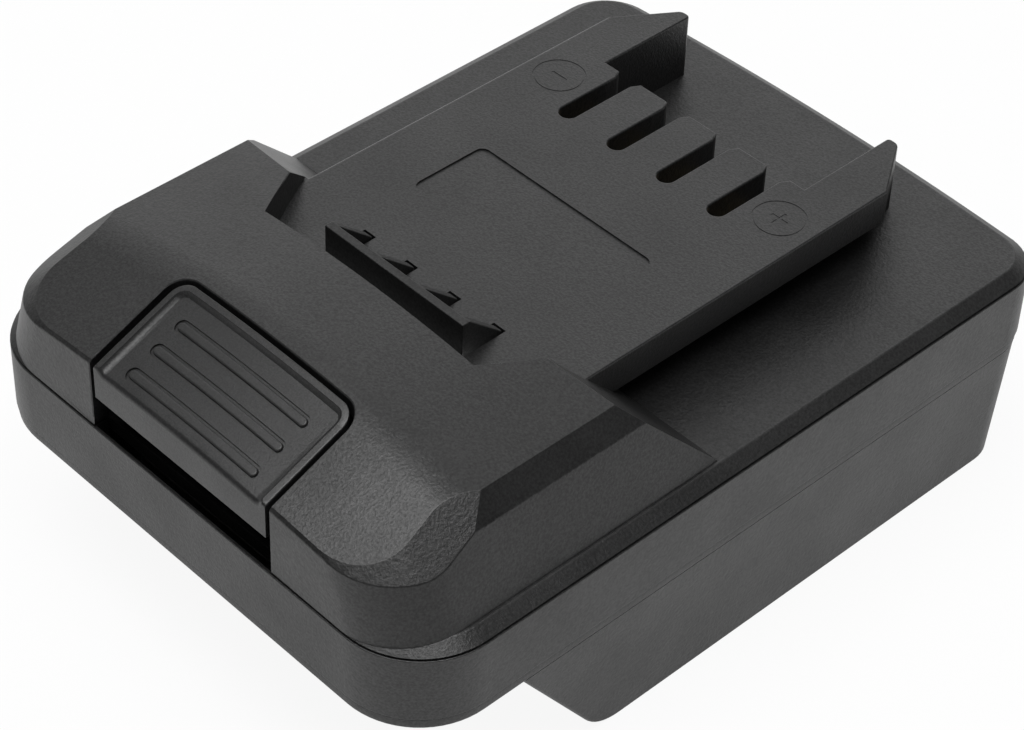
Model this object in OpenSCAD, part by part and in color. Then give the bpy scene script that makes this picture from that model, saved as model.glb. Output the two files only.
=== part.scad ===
// Slide-on adapter between a cordless tool and its battery.
// Rail, contact slots and latch tooth on top carry the tool; the bay below takes the battery.
// Origin at the bottom centre, X across, Y along with the release button at -Y, Z up, millimetres.

/* [Case] */
// Width over the middle frame
case_w = 79; // [78:0.5:88]
// Length over the middle frame
case_l = 108.6; // [107:0.2:120]
// Height of the battery bay, from the feet to the lower seam
bay_h = 21; // [20:0.5:26]
// Height of the middle frame
frame_h = 9.4; // [9:0.2:12]
// Thickness of the case walls
wall = 2.2; // [1.8:0.1:2.4]
// Thickness of the floor plate
floor_t = 1.6; // [1.4:0.1:2.2]
// Thickness of the deck
deck_t = 1.5; // [1.4:0.1:2]
// Front corner radius of the case
front_r = 11; // [10:0.5:13]
// Rear corner radius of the case
rear_r = 7; // [5:0.5:9]
// Radius of the bowed rear edge
bow_r = 480; // [300:10:900]
// Rounding of the deck's edge
deck_edge_r = 1.3; // [0.8:0.1:1.3]
// Height of the locating lips inside the frame
lip_h = 1.5; // [1:0.1:2]
// Thickness of the locating lips
lip_t = 1.2; // [0.8:0.1:1.6]
// Gap between a locating lip and the frame
lip_gap = 0.1; // [0.05:0.05:0.2]

/* [Front block] */
// Height of the crowned top above the upper seam
block_h = 16.7; // [16.4:0.1:18]
// Drop of the crown where it meets the chamfers
crown_drop = 2.7; // [2.2:0.1:3]
// Length from the front face to the foot of the rear ramp
block_l = 49.2; // [48:0.2:52]
// Setback of the block's front face behind the frame
block_inset = 0.15; // [0.1:0.05:0.3]
// Width of the ledge beside the block's foot
ledge_w = 2.25; // [1.6:0.05:3]
// Inward run of the drafted flank
flank_run = 3.05; // [2:0.05:4]
// Inward run of the chamfer above the flank
chamfer_run = 2.35; // [1.5:0.05:3]
// Height of the chamfer
chamfer_h = 2.8; // [2:0.1:3.4]
// Corner radius at the foot
block_r = 9.5; // [8:0.5:10.5]
// Height of the upright front face
face_h = 10.6; // [10:0.1:11.5]
// Rise of the front slope in degrees
slope_deg = 22.6; // [20:0.2:24]
// Radius of the front slope's crown
slope_r = 270; // [200:10:600]
// Rise of the rear ramp in degrees
ramp_deg = 45.5; // [42:0.5:50]
// Distance from the front to the notch behind the crown
notch_y = 28.2; // [27.6:0.2:30]
// Width of the notch's front edge
notch_w = 36.2; // [34:0.2:40]
// Flare of the notch's sides in degrees
notch_deg = 29.5; // [20:0.5:35]

/* [Release button] */
// Width of the button
button_w = 30.4; // [28.8:0.2:34]
// Length of the button along the slope's plan
button_l = 13.5; // [12.4:0.1:13.8]
// Setback of the button behind the front face
button_inset = 0.2; // [0.1:0.1:0.6]
// Gap beside the button
button_side_gap = 0.7; // [0.5:0.1:1.2]
// Gap behind the button
button_rear_gap = 0.5; // [0.4:0.1:1]
// Drop of the button's rim below the slope
button_drop = 0.3; // [0.1:0.1:0.8]
// Corner radius of the recess round the button
recess_r = 3; // [2:0.5:4]
// Wall of the button
button_wall = 1.8; // [1.4:0.1:2]
// Width of the button's rim
rim_w = 1.5; // [1:0.1:2]
// Depth of the dish inside the rim
dish_d = 0.6; // [0.4:0.1:1.2]
// Length of a grip rib
rib_l = 23; // [18:0.5:24]
// Width of a grip rib
rib_w = 1.9; // [1.4:0.1:2.2]
// Height of a grip rib above the dish
rib_h = 0.3; // [0.2:0.1:0.8]
// Spacing of the grip ribs
rib_pitch = 3.6; // [3.2:0.1:3.8]
// Distance from the button's rear edge to the first rib
rib_back = 4.1; // [3.4:0.1:4.4]
// Travel of the button and latch
latch_travel = 4.2; // [3:0.1:4.4]
// Gap left under the button at the end of its travel
end_gap = 0.9; // [0.3:0.1:1]

/* [Latch] */
// Width of the latch tooth
tooth_w = 24; // [23.6:0.2:27]
// Height of the tooth above the rail
tooth_h = 4.45; // [3.6:0.05:4.8]
// Thickness of the tooth
tooth_t = 1.2; // [1:0.1:1.6]
// Distance from the notch's front edge to the tooth
tooth_gap = 4; // [3.4:0.1:5]
// Length of the gussets behind the tooth
gusset_l = 5.1; // [4.4:0.1:6]
// Thickness of a gusset
gusset_t = 1.4; // [1:0.1:1.8]
// Thickness of the latch slide's plate
slide_t = 2.5; // [2:0.1:3]
// Gap round the latch where it passes the rail
latch_gap = 0.3; // [0.3:0.05:0.5]
// Gap between the slide and its stop ribs at rest
stop_gap = 0.1; // [0.05:0.05:0.2]
// Radius of the two guide posts
guide_r = 2; // [1.6:0.1:2.2]
// Running clearance of the slide on a guide post
guide_gap = 0.06; // [0.04:0.01:0.1]
// Distance between the guide posts
guide_pitch = 19; // [18:0.5:20]
// Distance from the front to the guide posts
guide_y = 21.1; // [20:0.1:22]
// Radius of the press-fitted pegs under the button
peg_r = 1.8; // [1.4:0.1:2]
// Distance between the pegs
peg_pitch = 14; // [12:0.5:16]
// Wire diameter of the latch springs
spring_wire = 0.8; // [0.6:0.1:1]
// Mean radius of the latch springs
spring_r = 3.1; // [3:0.1:3.6]
// Turns of each latch spring
spring_turns = 6; // [4:1:7]

/* [Tool rail] */
// Width of the rail's flange
rail_w = 48.7; // [46:0.1:52]
// Height of the rail's top above the deck
rail_h = 9.4; // [9.4:0.1:10.2]
// Thickness of the flange
flange_t = 5; // [4:0.1:5]
// Width of the stem under the flange
stem_w = 39.2; // [38.8:0.2:41]
// Distance from the rear of the case to the end of the flange's straight edge
rail_back = 16.95; // [15:0.05:19]
// Distance from the rear of the case to the tips of the ears
ear_back = 8.6; // [7:0.1:10]
// Clear width between the ears
ear_gap_w = 34.6; // [34:0.1:36]
// Thickness of an ear at its tip
ear_tip = 1.6; // [0.9:0.1:2]
// Distance from the rear of the case to the ends of the fingers
finger_back = 24.2; // [23:0.1:26]
// Length of the contact slots
slot_l = 12.2; // [11.8:0.1:13]
// Width of the contact slots
slot_w = 2.5; // [2.4:0.1:3]
// Spacing of the contact slots
slot_pitch = 8.64; // [8:0.02:9.2]
// Widening of a slot's mouth on each side
mouth_flare = 0.75; // [0.4:0.05:1]
// Length of a slot's mouth
mouth_l = 1.3; // [0.8:0.1:1.6]
// Width of the label recess
label_w = 29.8; // [24:0.2:31]
// Length of the label recess
label_l = 11.8; // [10:0.2:18]
// Distance from the rear of the case to the label recess
label_back = 48.1; // [47:0.1:50]
// Depth of the label recess
label_d = 0.4; // [0.2:0.1:0.6]
// Corner radius of the label recess
label_r = 1.2; // [0.6:0.1:2]
// Radius of the rings round the polarity signs
sign_r = 3.5; // [3:0.1:3.8]
// Distance between the polarity signs
sign_pitch = 38.4; // [37.6:0.1:39.4]
// Distance from the rear of the case to the polarity signs
sign_back = 30.8; // [28:0.1:34]
// Line width of the polarity signs
sign_line = 0.5; // [0.3:0.1:0.7]
// Depth of the polarity signs
sign_d = 0.3; // [0.2:0.05:0.5]

/* [Battery bay] */
// Draft of the skirts in degrees
skirt_deg = 3.3; // [2:0.1:4]
// Setback of the skirts from the frame at the lower seam
skirt_inset = 0.2; // [0.1:0.1:0.5]
// Thickness of the skirts at their feet
skirt_wall = 2.6; // [2.2:0.1:3]
// Distance from the front to the skirts' front edges under the floor plate
skirt_y = 17.1; // [16:0.1:20]
// Slant of the skirts' front edges in degrees
skirt_slant = 54; // [48:1:60]
// Radius at the skirts' front feet
skirt_r = 7; // [5:0.5:8]
// Inward width of the battery rails
bay_rail_w = 4.4; // [3.6:0.1:5]
// Thickness of the battery rails
bay_rail_t = 3; // [2.4:0.1:3.4]
// Height of the battery rails above the feet
bay_rail_z = 8; // [6:0.5:9]
// Distance from the front to the battery rails
bay_rail_y = 30; // [28:0.5:36]
// Distance from the rear of the case to the battery rails' ends
bay_rail_back = 14; // [12:0.5:20]
// Width of the pocket for the battery's catch
catch_w = 22; // [20:0.5:24]
// Length of the pocket for the battery's catch
catch_l = 7; // [6:0.2:7.4]
// Depth of the pocket above the floor plate's underside
catch_h = 5; // [4.4:0.1:5.4]
// Distance from the front to the pocket
catch_y = 5.4; // [5:0.1:7]
// Wall of the pocket
catch_wall = 1.5; // [1.2:0.1:1.8]

/* [Terminals] */
// Thickness of the contact clips' strip
clip_t = 0.5; // [0.4:0.05:0.6]
// Gap beside a contact clip in its slot
clip_gap = 0.2; // [0.15:0.05:0.3]
// Height of a clip above the deck
clip_h = 4; // [3:0.2:7]
// Least gap between the two leaves of a clip
clip_pinch = 0.5; // [0.4:0.05:0.6]
// Length of a clip's leaves
clip_l = 9.6; // [8:0.2:10]
// Thickness of a clip's stem
stem_t = 0.8; // [0.6:0.05:1]
// Length of a clip's stem inside the holder
clip_stem_l = 3.4; // [3:0.1:4]
// Height of a clip's solder tab
tab_h = 3; // [2.4:0.1:3.4]
// Reach of the power clips' tabs in front of the holder
tab_l = 4; // [3:0.1:4.5]
// Width of the clip holder
holder_w = 34; // [32:0.5:35]
// Distance from the clip holder's front to the slots' ends
holder_lead = 2; // [1.6:0.1:2.4]
// Gap between a strip and the plastic that holds it
strip_gap = 0.05; // [0.03:0.01:0.08]
// Width of the battery terminal block
block_w = 40; // [38:0.5:44]
// Length of the battery terminal block
term_l = 12; // [11.6:0.2:13]
// Height of the battery terminal block
term_h = 12; // [10:0.2:13]
// Distance from the rear of the case to the terminal block
term_back = 12.3; // [11:0.1:12.6]
// Spacing of the battery blades
blade_pitch = 10.5; // [10:0.1:11]
// Thickness of a battery blade
blade_t = 0.8; // [0.6:0.1:1]
// Height of a battery blade
blade_h = 6; // [5:0.2:7]
// Reach of a battery blade in front of the block
blade_l = 12; // [9:0.5:13]
// Height of a blade's lower edge above the block's underside
blade_rise = 3; // [2.4:0.2:3.6]
// Width of a blade's tail
tail_w = 1.6; // [1.4:0.1:2]
// Height of a blade's tail above the floor plate
tail_h = 4; // [3.4:0.1:4.6]
// Distance from the blade tails to the block's rear face
tail_back = 1.4; // [1.2:0.1:2]

/* [Board] */
// Width of the circuit board
board_w = 28; // [27:0.5:32]
// Length of the circuit board
board_l = 18; // [17:0.5:20]
// Thickness of the circuit board
board_t = 1.6; // [1.2:0.1:2]
// Height of the board's standoffs
standoff_h = 2; // [1.8:0.1:2.6]
// Gap between the board and the clip holder
board_gap = 10; // [9.4:0.1:11]
// Distance from the board's edges to its screws
board_inset = 3.2; // [3:0.1:3.6]
// Body radius of the resistor
resistor_r = 1.1; // [0.9:0.1:1.3]
// Body length of the resistor
resistor_l = 6; // [5:0.2:7]
// Lead radius of the resistor
lead_r = 0.3; // [0.2:0.05:0.4]
// Distance between the resistor's bent leads
lead_pitch = 10; // [9:0.5:11]

/* [Fasteners] */
// Shank radius of the case and block screws
screw_r = 1.5; // [1.3:0.1:1.7]
// Head radius of the case and block screws
head_r = 2.8; // [2.6:0.1:3]
// Head height of the case and block screws
head_h = 1.8; // [1.6:0.1:2]
// Shank length of the case screws
case_screw_l = 8; // [7:0.2:8]
// Shank length of the block screws
block_screw_l = 8; // [7:0.2:8.4]
// Gap round a screw
screw_gap = 0.1; // [0.05:0.05:0.2]
// Radius of the cover's screw bosses
boss_r = 3.6; // [3.2:0.1:4]
// Height of the floor plate's screw seats
seat_h = 3; // [2.8:0.1:3.4]
// Web left under a screw head's seat
seat_web = 2; // [1.8:0.1:2.2]
// Distance from the case side to the front case screws
front_screw_x = 10; // [9.6:0.1:11]
// Distance from the case front to the front case screws
front_screw_y = 11.1; // [10.8:0.1:12]
// Distance from the case side to the rear case screws
rear_screw_x = 12.5; // [12.2:0.1:14]
// Distance from the case rear to the rear case screws
rear_screw_y = 8.3; // [7.4:0.1:9]
// Distance between the block screws
block_screw_pitch = 32; // [31.4:0.2:33]
// Distance from the terminal block's front to its screws
block_screw_y = 4; // [3.8:0.1:4.6]
// Shank radius of the board screws
board_screw_r = 1; // [0.8:0.1:1.2]
// Head radius of the board screws
board_head_r = 1.9; // [1.7:0.1:2.1]
// Head height of the board screws
board_head_h = 1.2; // [1:0.1:1.4]
// Radius of the power wires
wire_r = 1; // [0.8:0.1:1.1]
// Radius of the signal wire
signal_r = 0.6; // [0.5:0.05:0.7]

/* [Hidden] */
case_col = "#3a3a3b";
metal_col = "#c9b27a";

half = case_w / 2;
front = -case_l / 2;
rear = case_l / 2;
seam_a = bay_h + frame_h;
deck_z = seam_a + deck_t;
rail_z = deck_z + rail_h;
flange_z = rail_z - flange_t;
under = bay_h - floor_t;
bow_sweep = asin((half - rear_r) / (bow_r - rear_r));
corner_x = half - rear_r;
corner_y = rear - bow_r + (bow_r - rear_r) * cos(bow_sweep);
eps = 0.01;
corner_steps = 12;
edge_steps = 5;

crown_z = seam_a + block_h;
edge_z = crown_z - crown_drop;
mid_z = edge_z - chamfer_h;
foot_half = half - ledge_w;
mid_half = foot_half - flank_run;
top_half = mid_half - chamfer_run;
crown_r = (top_half * top_half + crown_drop * crown_drop) / (2 * crown_drop);
slope_drop = (slope_r - sqrt(slope_r * slope_r - top_half * top_half)) / cos(slope_deg);
notch_front = front + notch_y;

button_front = front + button_inset;
button_rear = button_front + button_l;
button_z = seam_a + latch_travel + end_gap;
recess_half = button_w / 2 + button_side_gap;
recess_rear = button_rear + button_rear_gap;
peg_y = (button_front + button_rear) / 2;

slide_z = button_z;
slide_top = slide_z + slide_t;
slide_front = button_front + button_wall + button_side_gap;
tooth_y = notch_front + tooth_gap;
tooth_rear = tooth_y + tooth_t;
gusset_rear = tooth_rear + gusset_l;
gusset_step = (tooth_w - gusset_t) / 3;
post_y = front + guide_y;
post_x = guide_pitch / 2;
post_top = slide_top + guide_r;

finger_y = rear - finger_back;
slot_y = finger_y - slot_l;
holder_y = slot_y - holder_lead;
clip_half = slot_w / 2 - clip_gap;
clip_y = slot_y + clip_gap + slot_w / 4;
tab_z = bay_h + standoff_h;
board_z = bay_h + standoff_h;
board_top = board_z + board_t;
board_rear = holder_y - board_gap;
board_front = board_rear - board_l;
board_screw_x = board_w / 2 - board_inset;
board_screw_y = board_front + board_inset;

term_rear = rear - term_back;
term_y = term_rear - term_l;
term_z = under - term_h;
blade_z = term_z + blade_rise;
tail_y = term_rear - tail_back - tail_w;
tail_top = bay_h + tail_h;

foot_out = half - skirt_inset - bay_h * tan(skirt_deg);
bay_half = foot_out - skirt_wall;
bay_rear = corner_y + rear_r - skirt_inset - bay_h * tan(skirt_deg) - skirt_wall;
seat_top = bay_h + seat_h;
head_z = seat_top - seat_web;
block_head_z = under - seat_web - head_h;

// Places of the case screws, and which of them stand at the front
case_screw_at = [for (s = [-1, 1]) [s * (half - front_screw_x), front + front_screw_y],
                 for (s = [-1, 1]) [s * (half - rear_screw_x), rear - rear_screw_y]];
block_screw_at = [for (s = [-1, 1]) [s * block_screw_pitch / 2, term_y + block_screw_y]];
board_screw_at = [for (s = [-1, 1]) [s * board_screw_x, board_screw_y]];
slot_at = [for (i = [0 : 3]) (i - 1.5) * slot_pitch];

// Routes of the leads from a clip's tab or the board to a blade's tail: X, Y from the rear of the case
// and Z above the floor plate
power_route = [[13, -45.2, 3.2], [16, -46.7, 3.2], [20, -45.3, 3.2], [21.6, -40.3, 3.2], [21.6, -32.3, 3.2],
               [21.6, -23.3, 3.2], [20.5, -17.3, 3.2], [16.5, -14.7, 2.6], [13.5, -14.5, 2.2]];
signal_route = [[10, -51.5, 5], [11.4, -50.9, 6], [16, -49.9, 6], [21, -48.8, 5.6], [24.6, -44.3, 4.6],
                [24.8, -36.3, 4], [24.8, -24.3, 4], [23, -16.3, 3.4], [17, -10.7, 2.6], [8, -8.7, 2.2],
                [2, -9.7, 2.2], [0, -11.7, 2.2]];

function placed(route) = [for (p = route) p + [0, rear, bay_h]];
function unit(v) = v / norm(v);
function tangents(p) = [for (i = [0 : len(p) - 1])
    unit(p[min(i + 1, len(p) - 1)] - p[max(i - 1, 0)])];
function normals(t, i, n) = i >= len(t) ? [] :
    let (m = unit(n - t[i] * (n * t[i]))) concat([m], normals(t, i + 1, m));

// Round tube along a list of points, as one closed body
module tube(path, r, sides, first) {
    t = tangents(path);
    n = normals(t, 0, first);
    last = (len(path) - 1) * sides;
    points = [for (i = [0 : len(path) - 1]) for (k = [0 : sides - 1])
        path[i] + r * (cos(360 * k / sides) * n[i] + sin(360 * k / sides) * cross(t[i], n[i]))];
    skin = [for (i = [0 : len(path) - 2]) for (k = [0 : sides - 1])
        let (a = i * sides + k, b = i * sides + (k + 1) % sides)
        each [[a, a + sides, b], [b, a + sides, b + sides]]];
    caps = [for (k = [1 : sides - 2]) each [[0, k, k + 1], [last, last + k + 1, last + k]]];
    polyhedron(points, concat(skin, caps));
}

// Plan of the case, drawn in from its outer line
module outline(inset) {
    h = half - inset;
    fr = front_r - inset;
    rr = rear_r - inset;
    bow_half = (bow_r - inset) * sin(bow_sweep);
    translate([-h, front + front_r]) square([2 * h, corner_y - front - front_r]);
    translate([-half + front_r, front + inset]) square([2 * (half - front_r), front_r]);
    for (s = [-1, 1]) {
        translate([s * (half - front_r), front + front_r]) circle(fr, $fn = 64);
        translate([s * corner_x, corner_y]) circle(rr, $fn = 64);
    }
    intersection() {
        translate([0, rear - bow_r]) circle(bow_r - inset, $fn = 720);
        translate([-bow_half, corner_y - rear_r]) square([2 * bow_half, 3 * rear_r]);
    }
}

module ring(outer, inner, z, h) {
    translate([0, 0, z]) linear_extrude(h) difference() {
        outline(outer);
        outline(inner);
    }
}

// Profile across X from a drawing in Y and Z
module across(width) {
    translate([-width / 2, 0, 0]) rotate([90, 0, 90]) linear_extrude(width) children();
}

// Profile along Y from a drawing in X and Z
module along(y0, y1) {
    translate([0, y1, 0]) rotate([90, 0, 0]) linear_extrude(y1 - y0) children();
}

function arc(x, y, r, a0, a1, z) = [for (i = [0 : corner_steps])
    let (a = a0 + (a1 - a0) * i / corner_steps) [x + r * cos(a), y + r * sin(a), z]];

// Plan of the case as points at a height, drawn in from its outer line, seen anticlockwise
function case_ring(inset, z) = let (fr = front_r - inset, rr = rear_r - inset, n = corner_steps,
                                    fx = half - front_r, fy = front + front_r)
    concat([for (i = [1 : n - 1]) let (a = 90 + bow_sweep * (2 * i / n - 1))
                [(bow_r - inset) * cos(a), rear - bow_r + (bow_r - inset) * sin(a), z]],
           arc(-corner_x, corner_y, rr, 90 + bow_sweep, 180, z), arc(-fx, fy, fr, 180, 270, z),
           arc(fx, fy, fr, 270, 360, z), arc(corner_x, corner_y, rr, 0, 90 - bow_sweep, z));

// Deck with its rounded upper edge
module deck_plate() {
    r = deck_edge_r;
    loft(concat([case_ring(0, seam_a)],
                [for (i = [0 : edge_steps]) let (a = 90 * i / edge_steps)
                    case_ring(r * (1 - cos(a)), deck_z - r + r * sin(a))]));
}

// Plan of the block at a height: straight sides and round front corners, seen anticlockwise
function block_ring(h, r, y, z) = let (back = front + block_l + wall, n = corner_steps)
    concat([[-h, back, z]],
           [for (i = [0 : n]) [-h + r - r * cos(90 * i / n), y + r - r * sin(90 * i / n), z]],
           [for (i = [0 : n]) [h - r + r * sin(90 * i / n), y + r - r * cos(90 * i / n), z]],
           [[h, back, z]]);

// Closed body through a stack of plans with equal counts of points
module loft(rings) {
    n = len(rings[0]);
    last = (len(rings) - 1) * n;
    skin = [for (i = [0 : len(rings) - 2]) for (k = [0 : n - 1])
        let (a = i * n + k, b = i * n + (k + 1) % n)
        each [[a, a + n, b], [b, a + n, b + n]]];
    caps = [for (k = [1 : n - 2]) each [[0, k, k + 1], [last, last + k + 1, last + k]]];
    polyhedron([for (ring = rings) each ring], concat(skin, caps));
}

// Space under the crowned front slope, lowered by a drop
module under_slope(drop) {
    translate([0, front, seam_a + face_h - drop]) rotate([slope_deg, 0, 0])
        translate([0, -block_l, -slope_r]) rotate([-90, 0, 0])
            cylinder(r = slope_r, h = 3 * block_l, $fn = 720);
}

// Gable at a place along Y whose sides are the chamfers beside the front slope
function gable(y, inset) = let (
    z = seam_a + face_h + (y - front) * tan(slope_deg) - slope_drop - chamfer_h - inset / 2,
    x = foot_half - (z - deck_z) * flank_run / (mid_z - deck_z) - inset, pitch = chamfer_h / chamfer_run,
    eave = z - (half - x) * pitch)
    [[-half, y, 0], [-half, y, eave], [0, y, z + x * pitch], [half, y, eave], [half, y, 0]];

// Front block, or its hollow when drawn in by a wall
module block_form(inset) {
    r = block_r - inset;
    ramp_z = deck_z - inset / cos(ramp_deg);
    top = crown_z + inset + eps;
    y1 = front + block_l - (top - ramp_z) / tan(ramp_deg);
    y2 = front + block_l - (seam_a - ramp_z) / tan(ramp_deg);
    y = front + block_inset + inset;
    f = front - wall;
    h0 = foot_half - inset;
    h1 = mid_half - inset;
    h2 = top_half - inset;
    intersection() {
        loft([block_ring(h0, r, y, seam_a - wall), block_ring(h0, r, y, deck_z),
              block_ring(h1, r, y, mid_z - inset / 2),
              block_ring(h2 - chamfer_run, r, y, edge_z - inset + chamfer_h)]);
        across(case_w) polygon([[f, seam_a], [f, top], [y1, top], [y2, seam_a]]);
        under_slope(inset / cos(slope_deg));
        loft([gable(f, inset), gable(front + block_l + 2 * wall, inset)]);
        along(front, front + block_l + 2 * wall) intersection() {
            translate([0, crown_z - inset - crown_r]) circle(crown_r, $fn = 720);
            translate([-half, bay_h]) square([case_w, frame_h + block_h + wall]);
        }
    }
}

// Notch that the latch tooth stands in, from a height upward
module notch(grow, z) {
    reach = block_l - notch_y + wall;
    w0 = notch_w / 2 + grow;
    w1 = w0 + reach * tan(notch_deg);
    y = notch_front - grow;
    translate([0, 0, z]) linear_extrude(crown_z - z + wall)
        polygon([[-w0, y], [w0, y], [w1, y + reach], [w1, y + reach + block_l],
                 [-w1, y + reach + block_l], [-w1, y + reach]]);
}

module rail_plan() {
    r = rail_w / 2;
    e = ear_gap_w / 2;
    tip = rear - ear_back;
    polygon([[-r, notch_front], [-r, rear - rail_back], [-e - ear_tip, tip], [-e, tip], [-e, finger_y],
             [e, finger_y], [e, tip], [e + ear_tip, tip], [r, rear - rail_back], [r, notch_front]]);
}

module rail() {
    translate([0, 0, flange_z]) linear_extrude(flange_t) rail_plan();
    translate([0, 0, seam_a]) linear_extrude(rail_z - seam_a) intersection() {
        rail_plan();
        translate([-stem_w / 2, front]) square([stem_w, case_l]);
    }
}

module slot_plan() {
    w = slot_w / 2;
    translate([0, slot_y + w]) circle(w, $fn = 32);
    polygon([[-w, slot_y + w], [w, slot_y + w], [w, finger_y - mouth_l], [w + mouth_flare, finger_y],
             [w + mouth_flare, finger_y + eps], [-w - mouth_flare, finger_y + eps],
             [-w - mouth_flare, finger_y], [-w, finger_y - mouth_l]]);
}

module label_plan() {
    w = label_w / 2;
    y1 = rear - label_back;
    y0 = y1 - label_l;
    translate([-w + label_r, y0]) square([label_w - 2 * label_r, label_l]);
    translate([-w, y0 + label_r]) square([label_w, label_l - 2 * label_r]);
    for (s = [-1, 1]) for (y = [y0 + label_r, y1 - label_r])
        translate([s * (w - label_r), y]) circle(label_r, $fn = 32);
}

module sign_plan(plus) {
    bar = sign_r - 2 * sign_line;
    difference() {
        circle(sign_r, $fn = 64);
        circle(sign_r - sign_line, $fn = 64);
    }
    square([bar, sign_line], center = true);
    if (plus) square([sign_line, bar], center = true);
}

module latch_plan(gap) {
    w = tooth_w / 2 + gap;
    translate([-w, tooth_y - gap]) square([2 * w, tooth_t + tail_w + 2 * gap]);
    for (i = [0 : 3]) translate([-tooth_w / 2 + i * gusset_step - gap, tooth_y])
        square([gusset_t + 2 * gap, gusset_rear - tooth_y + gap]);
}

module recess_plan() {
    h = recess_half;
    translate([-h, front - wall]) square([2 * h, recess_rear - recess_r - front + wall]);
    translate([-h + recess_r, front]) square([2 * (h - recess_r), recess_rear - front]);
    for (s = [-1, 1]) translate([s * (h - recess_r), recess_rear - recess_r]) circle(recess_r, $fn = 48);
}

module upper_cover() color(case_col) {
    inner = stem_w / 2 - wall;
    pilot = head_z + case_screw_l + screw_gap;
    difference() {
        union() {
            difference() {
                union() {
                    deck_plate();
                    difference() {
                        block_form(0);
                        notch(0, rail_z);
                    }
                    rail();
                }
                difference() {
                    block_form(wall);
                    notch(wall, rail_z - wall);
                }
                translate([-inner, notch_front - wall, seam_a - eps])
                    cube([2 * inner, slot_y - holder_lead - notch_front + wall, rail_z - wall - seam_a]);
                translate([0, 0, seam_a - eps]) linear_extrude(block_h + wall) recess_plan();
            }
            ring(wall + lip_gap, wall + lip_gap + lip_t, seam_a - lip_h, lip_h);
            for (p = case_screw_at) translate([p[0], p[1], seat_top])
                cylinder(r = boss_r, h = deck_z - eps - seat_top, $fn = 48);
            for (i = [0, 1]) intersection() {
                block_form(wall / 2);
                translate([case_screw_at[i][0], case_screw_at[i][1], seam_a])
                    cylinder(r = boss_r, h = block_h, $fn = 48);
            }
            for (s = [-1, 1]) translate([s * (post_x - guide_r - 2 * wall) - wall / 2, recess_rear + wall,
                                         slide_top + stop_gap])
                cube([wall, notch_front - recess_rear - 2 * wall, edge_z - slide_top]);
        }
        translate([0, 0, seam_a]) linear_extrude(rail_h + deck_t + eps) latch_plan(latch_gap);
        for (x = slot_at) translate([x, 0, 0]) {
            translate([0, 0, deck_z]) linear_extrude(rail_h + eps) slot_plan();
            translate([-slot_w / 2, clip_y - clip_gap, seam_a - eps])
                cube([slot_w, clip_l + 2 * clip_gap, deck_t + 2 * eps]);
        }
        translate([0, 0, rail_z - label_d]) linear_extrude(label_d + eps) label_plan();
        for (s = [-1, 1]) translate([s * sign_pitch / 2, rear - sign_back, rail_z - sign_d])
            linear_extrude(sign_d + eps) sign_plan(s > 0);
        for (p = case_screw_at) translate([p[0], p[1], seat_top - eps])
            cylinder(r = screw_r + screw_gap, h = pilot - seat_top, $fn = 32);
    }
}

module middle_frame() color(case_col) ring(0, wall, bay_h, frame_h);

// Side view of a skirt with its slanted, rounded front edge
module skirt_side() {
    y0 = front + skirt_y;
    nx = sin(skirt_slant);
    nz = cos(skirt_slant);
    yc = y0 + (skirt_r - (skirt_r - under) * nz) / nx;
    polygon([[y0, under], [yc - skirt_r * nx, skirt_r - skirt_r * nz], [yc, skirt_r], [yc, 0],
             [rear, 0], [rear, under]]);
    intersection() {
        translate([yc, skirt_r]) circle(skirt_r, $fn = 64);
        polygon([[yc, skirt_r], [yc - skirt_r * nx, skirt_r - skirt_r * nz], [yc - 2 * skirt_r, -skirt_r],
                 [yc, -skirt_r]]);
    }
}

module skirts() {
    difference() {
        intersection() {
            loft([case_ring(half - foot_out, 0), case_ring(skirt_inset + floor_t * tan(skirt_deg), under)]);
            across(case_w) skirt_side();
        }
        translate([-bay_half, front, -eps]) cube([2 * bay_half, bay_rear - front, under + 2 * eps]);
    }
    rail_y = front + bay_rail_y;
    for (s = [0, 1]) mirror([s, 0, 0]) translate([bay_half - bay_rail_w, rail_y, bay_rail_z])
        cube([bay_rail_w + skirt_wall / 2, rear - bay_rail_back - rail_y, bay_rail_t]);
}

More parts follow.
